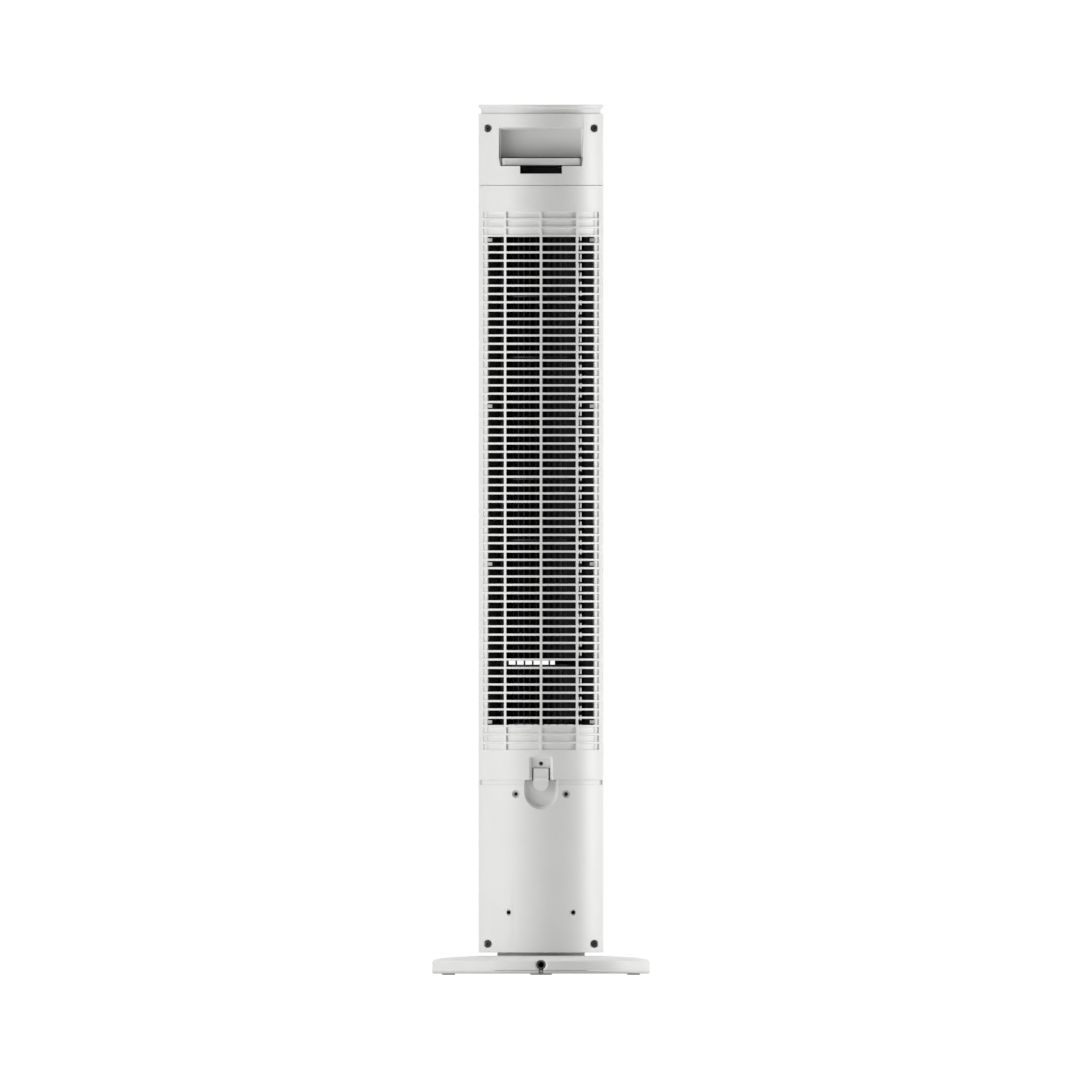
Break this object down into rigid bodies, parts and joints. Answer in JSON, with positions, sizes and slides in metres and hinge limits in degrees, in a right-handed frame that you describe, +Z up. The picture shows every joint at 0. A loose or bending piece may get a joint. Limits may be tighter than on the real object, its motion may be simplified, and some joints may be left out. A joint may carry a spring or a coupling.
{
  "type": "tower fan",
  "caption": "Slim round tower fan on a disc base: slotted rear intake, front outlet grille, carry recess with stored remote control, swinging column.",
  "frame": {"origin": "on the floor under the middle of the base", "axes": "+Z up along the column, -Y the front where the air leaves, +Y the back with the intake grille, handle recess and remote control"},
  "size_m": [0.25, 0.2498, 1],
  "materials": {
    "white_housing": "satin moulded",
    "pale_grey_plastic": "satin moulded",
    "remote_shell": "satin moulded",
    "keypad_rubber": "matt",
    "black_plastic": "matt moulded",
    "neck_plastic": "matt moulded",
    "gear_plastic": "natural",
    "foot_rubber": "matt",
    "weight_iron": "as cast",
    "display_lens": "polished",
    "bush_brass": "sintered",
    "steel": "plain",
    "circuit_board": "solder mask",
    "screw_steel": "blackened",
    "button_plastic": "satin moulded"
  },
  "bodies": {
    "base": {"base_shell": "white_housing", "base_bottom_cover": "pale_grey_plastic", "base_weight": "weight_iron", "bearing_ring": "gear_plastic", "ring_gear_segment": "gear_plastic", "cord_gland": "black_plastic", "foot_front": "foot_rubber", "foot_left": "foot_rubber", "foot_right": "foot_rubber", "foot_rear_left": "foot_rubber", "foot_rear_right": "foot_rubber"},
    "column": {"column_floor": "pale_grey_plastic", "swivel_neck": "neck_plastic", "front_housing": "white_housing", "lower_rear_housing": "white_housing", "upper_rear_housing": "white_housing", "top_cap": "white_housing", "front_grille": "pale_grey_plastic", "display_lens": "display_lens", "air_duct": "black_plastic", "top_bearing_bush": "bush_brass", "fan_motor": "steel", "motor_bracket": "steel", "swing_motor": "steel", "power_board": "circuit_board", "control_board": "circuit_board", "screw_upper_left": "screw_steel", "screw_upper_right": "screw_steel", "screw_middle_left": "screw_steel", "screw_middle_right": "screw_steel", "screw_low_left": "screw_steel", "screw_low_right": "screw_steel", "screw_bottom_left": "screw_steel", "screw_bottom_right": "screw_steel"},
    "rotor": {"impeller_lower": "black_plastic", "impeller_upper": "black_plastic", "coupling_pin": "steel", "motor_shaft": "steel", "top_shaft": "steel"},
    "pinion": {"swing_pinion": "gear_plastic"},
    "remote": {"remote_body": "remote_shell", "remote_keypad": "keypad_rubber", "remote_battery_cover": "remote_shell"},
    "grille": {"rear_grille": "white_housing", "latch_screw": "screw_steel"},
    "latch": {"latch_tongue": "white_housing"},
    "button_power": {"button_power": "button_plastic"},
    "button_speed": {"button_speed": "button_plastic"},
    "button_mode": {"button_mode": "button_plastic"},
    "button_timer": {"button_timer": "button_plastic"},
    "button_swing": {"button_swing": "button_plastic"}
  },
  "joints": [
    {"name": "column_swing", "type": "hinge", "parent": "base", "child": "column", "pos_m": [0, 0, 0.014], "axis": [0, 0, 1], "range_deg": [-38, 38]},
    {"name": "pinion_spin", "type": "hinge", "parent": "column", "child": "pinion", "pos_m": [0, -0.03, 0.01], "axis": [0, 0, 1], "range_deg": [-155, 155]},
    {"name": "rotor_spin", "type": "hinge", "parent": "column", "child": "rotor", "pos_m": [0, 0, 0.57], "axis": [0, 0, 1], "continuous": true},
    {"name": "remote_slide", "type": "slide", "parent": "column", "child": "remote", "axis": [0, 1, 0], "range_m": [0, 0.055]},
    {"name": "grille_release", "type": "slide", "parent": "column", "child": "grille", "axis": [0, 1, 0], "range_m": [0, 0.06]},
    {"name": "latch_flex", "type": "hinge", "parent": "grille", "child": "latch", "pos_m": [0, 0.069, 0.2365], "axis": [-1, 0, 0], "range_deg": [0, 8], "stiffness_Nm_per_rad": 0.5, "springref_deg": -2.86},
    {"name": "press_power", "type": "slide", "parent": "column", "child": "button_power", "axis": [0, 0, -1], "range_m": [0, 0.0008], "stiffness_N_per_m": 300, "springref_m": -0.001},
    {"name": "press_speed", "type": "slide", "parent": "column", "child": "button_speed", "axis": [0, 0, -1], "range_m": [0, 0.0008], "stiffness_N_per_m": 300, "springref_m": -0.001},
    {"name": "press_mode", "type": "slide", "parent": "column", "child": "button_mode", "axis": [0, 0, -1], "range_m": [0, 0.0008], "stiffness_N_per_m": 300, "springref_m": -0.001},
    {"name": "press_timer", "type": "slide", "parent": "column", "child": "button_timer", "axis": [0, 0, -1], "range_m": [0, 0.0008], "stiffness_N_per_m": 300, "springref_m": -0.001},
    {"name": "press_swing", "type": "slide", "parent": "column", "child": "button_swing", "axis": [0, 0, -1], "range_m": [0, 0.0008], "stiffness_N_per_m": 300, "springref_m": -0.001}
  ],
  "couplings": [
    {"joint": "pinion_spin", "follows": "column_swing", "ratio": -4}
  ]
}
